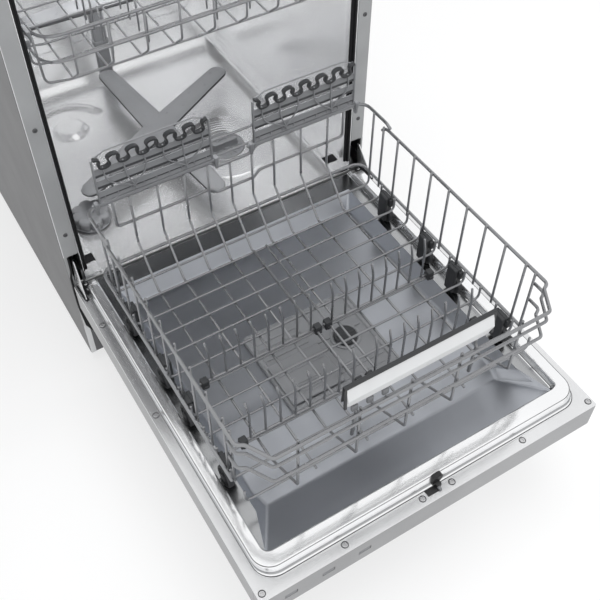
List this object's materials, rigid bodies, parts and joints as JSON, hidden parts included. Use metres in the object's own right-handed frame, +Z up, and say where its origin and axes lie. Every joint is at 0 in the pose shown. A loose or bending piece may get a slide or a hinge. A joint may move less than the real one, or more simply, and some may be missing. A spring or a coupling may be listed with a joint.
{
  "type": "dishwasher",
  "caption": "Free-standing dishwasher with a drop-down door, a wheeled lower rack pulled out over the door, an upper rack on rails and rotating spray arms.",
  "frame": {"origin": "floor level, under the middle of the whole box counted with the door open", "axes": "+X right seen from the front, +Y to the back, +Z up"},
  "size_m": [0.598, 1.25, 0.848],
  "materials": {
    "grey_paint": "satin",
    "galvanised": "satin",
    "stainless": "polished",
    "brushed_panel": "brushed",
    "screw_steel": "polished",
    "silver_wire": "satin nylon coat",
    "black_rubber": "matte",
    "black_plastic": "matte",
    "dark_plastic": "matte",
    "grey_plastic": "matte",
    "pale_plastic": "semi-gloss",
    "top_board": "pale grey laminate"
  },
  "bodies": {
    "cabinet": {"base_tray": "grey_plastic", "levelling_feet": "grey_plastic", "left_side_panel": "grey_paint", "right_side_panel": "grey_paint", "rear_panel": "galvanised", "top_panel": "top_board", "front_skirt": "grey_paint", "front_frame": "stainless", "frame_screws": "screw_steel", "door_seal": "black_rubber", "hinge_covers": "black_rubber", "hinge_brackets": "galvanised", "hinge_pins": "screw_steel", "tub_wrapper": "stainless", "tub_back": "stainless", "tub_floor": "stainless", "lower_tracks": "stainless", "upper_rails": "stainless", "sump": "dark_plastic", "filter_plate": "stainless", "softener_tank": "pale_plastic", "water_feed": "grey_plastic", "circulation_pump": "dark_plastic", "drain_pump": "dark_plastic", "water_inlet": "pale_plastic", "drain_outlet": "grey_plastic", "cord_gland": "black_rubber"},
    "door": {"door_outer_panel": "brushed_panel", "door_liner": "stainless", "liner_screws": "screw_steel", "control_strip": "brushed_panel", "door_latch": "black_plastic", "dispenser_body": "grey_plastic", "hinge_arms": "galvanised"},
    "lower_rack": {"lower_rack_basket": "silver_wire", "rack_clips": "dark_plastic", "rack_handle": "pale_plastic", "handle_grip": "dark_plastic"},
    "upper_rack": {"upper_rack_basket": "silver_wire", "upper_slides": "grey_plastic", "arm_feed": "grey_plastic"},
    "filter_cylinder": {"filter_cylinder": "grey_plastic"},
    "salt_cap": {"salt_cap": "grey_plastic"},
    "lower_spray_arm": {"lower_spray_arm": "dark_plastic"},
    "power_button": {"power_button": "grey_plastic"},
    "program_button": {"program_button": "grey_plastic"},
    "start_button": {"start_button": "grey_plastic"},
    "dispenser_lid": {"dispenser_lid": "grey_plastic"},
    "rinse_aid_cap": {"rinse_aid_cap": "dark_plastic"},
    "wheel_pair_1": {"wheel_pair_1": "dark_plastic"},
    "wheel_pair_2": {"wheel_pair_2": "dark_plastic"},
    "wheel_pair_3": {"wheel_pair_3": "dark_plastic"},
    "wheel_pair_4": {"wheel_pair_4": "dark_plastic"},
    "left_cup_shelf": {"left_cup_shelf": "grey_plastic"},
    "right_cup_shelf": {"right_cup_shelf": "grey_plastic"},
    "front_left_tines": {"front_left_tines": "silver_wire"},
    "mid_left_tines": {"mid_left_tines": "silver_wire"},
    "front_right_tines": {"front_right_tines": "silver_wire"},
    "mid_right_tines": {"mid_right_tines": "silver_wire"},
    "middle_spray_arm": {"middle_spray_arm": "dark_plastic"}
  },
  "joints": [
    {"name": "door_hinge", "type": "hinge", "parent": "cabinet", "child": "door", "pos_m": [0, 0.031, 0.218], "axis": [-1, 0, 0], "range_deg": [0, 30]},
    {"name": "lower_rack_slide", "type": "slide", "parent": "door", "child": "lower_rack", "axis": [0, -1, 0], "range_m": [-0.575, 0]},
    {"name": "upper_rack_slide", "type": "slide", "parent": "cabinet", "child": "upper_rack", "axis": [0, 1, 0], "range_m": [-0.45, 0]},
    {"name": "wheel_1_roll", "type": "hinge", "parent": "lower_rack", "child": "wheel_pair_1", "pos_m": [0, -0.44441, 0.2463], "axis": [1, 0, 0], "continuous": true},
    {"name": "wheel_2_roll", "type": "hinge", "parent": "lower_rack", "child": "wheel_pair_2", "pos_m": [0, -0.32523, 0.2463], "axis": [1, 0, 0], "continuous": true},
    {"name": "wheel_3_roll", "type": "hinge", "parent": "lower_rack", "child": "wheel_pair_3", "pos_m": [0, -0.24577, 0.2463], "axis": [1, 0, 0], "continuous": true},
    {"name": "wheel_4_roll", "type": "hinge", "parent": "lower_rack", "child": "wheel_pair_4", "pos_m": [0, -0.12659, 0.2463], "axis": [1, 0, 0], "continuous": true},
    {"name": "left_shelf_fold", "type": "hinge", "parent": "lower_rack", "child": "left_cup_shelf", "pos_m": [-0.135, -0.03, 0.429], "axis": [1, 0, 0], "range_deg": [0, 90]},
    {"name": "right_shelf_fold", "type": "hinge", "parent": "lower_rack", "child": "right_cup_shelf", "pos_m": [0.135, -0.03, 0.429], "axis": [1, 0, 0], "range_deg": [0, 90]},
    {"name": "front_left_tine_fold", "type": "hinge", "parent": "lower_rack", "child": "front_left_tines", "pos_m": [-0.11, -0.42455, 0.2764], "axis": [1, 0, 0], "range_deg": [0, 85]},
    {"name": "mid_left_tine_fold", "type": "hinge", "parent": "lower_rack", "child": "mid_left_tines", "pos_m": [-0.11, -0.30536, 0.2764], "axis": [1, 0, 0], "range_deg": [0, 85]},
    {"name": "front_right_tine_fold", "type": "hinge", "parent": "lower_rack", "child": "front_right_tines", "pos_m": [0.11, -0.42455, 0.2764], "axis": [1, 0, 0], "range_deg": [0, 85]},
    {"name": "mid_right_tine_fold", "type": "hinge", "parent": "lower_rack", "child": "mid_right_tines", "pos_m": [0.11, -0.30536, 0.2764], "axis": [1, 0, 0], "range_deg": [0, 85]},
    {"name": "lower_arm_spin", "type": "hinge", "parent": "cabinet", "child": "lower_spray_arm", "pos_m": [0, 0.2987, 0.2498], "axis": [0, 0, 1], "continuous": true},
    {"name": "middle_arm_spin", "type": "hinge", "parent": "upper_rack", "child": "middle_spray_arm", "pos_m": [0, 0.2987, 0.5486], "axis": [0, 0, 1], "continuous": true},
    {"name": "filter_twist", "type": "hinge", "parent": "cabinet", "child": "filter_cylinder", "pos_m": [0.112, 0.2367, 0.199], "axis": [0, 0, 1], "range_deg": [0, 90]},
    {"name": "salt_cap_twist", "type": "hinge", "parent": "cabinet", "child": "salt_cap", "pos_m": [-0.2, 0.181, 0.209], "axis": [0, 0, 1], "continuous": true},
    {"name": "dispenser_lid_slide", "type": "slide", "parent": "door", "child": "dispenser_lid", "axis": [0, 1, 0], "range_m": [0, 0.074]},
    {"name": "rinse_cap_twist", "type": "hinge", "parent": "door", "child": "rinse_aid_cap", "pos_m": [0.05, -0.3, 0.21], "axis": [0, 0, 1], "range_deg": [0, 90]},
    {"name": "power_press", "type": "slide", "parent": "door", "child": "power_button", "axis": [0, 1, 0], "range_m": [0, 0.0025], "stiffness_N_per_m": 400},
    {"name": "program_press", "type": "slide", "parent": "door", "child": "program_button", "axis": [0, 1, 0], "range_m": [0, 0.0025], "stiffness_N_per_m": 400},
    {"name": "start_press", "type": "slide", "parent": "door", "child": "start_button", "axis": [0, 1, 0], "range_m": [0, 0.0025], "stiffness_N_per_m": 400}
  ],
  "couplings": [
    {"joint": "wheel_1_roll", "follows": "lower_rack_slide", "rad_per_m": 55.556},
    {"joint": "wheel_2_roll", "follows": "lower_rack_slide", "rad_per_m": 55.556},
    {"joint": "wheel_3_roll", "follows": "lower_rack_slide", "rad_per_m": 55.556},
    {"joint": "wheel_4_roll", "follows": "lower_rack_slide", "rad_per_m": 55.556}
  ]
}
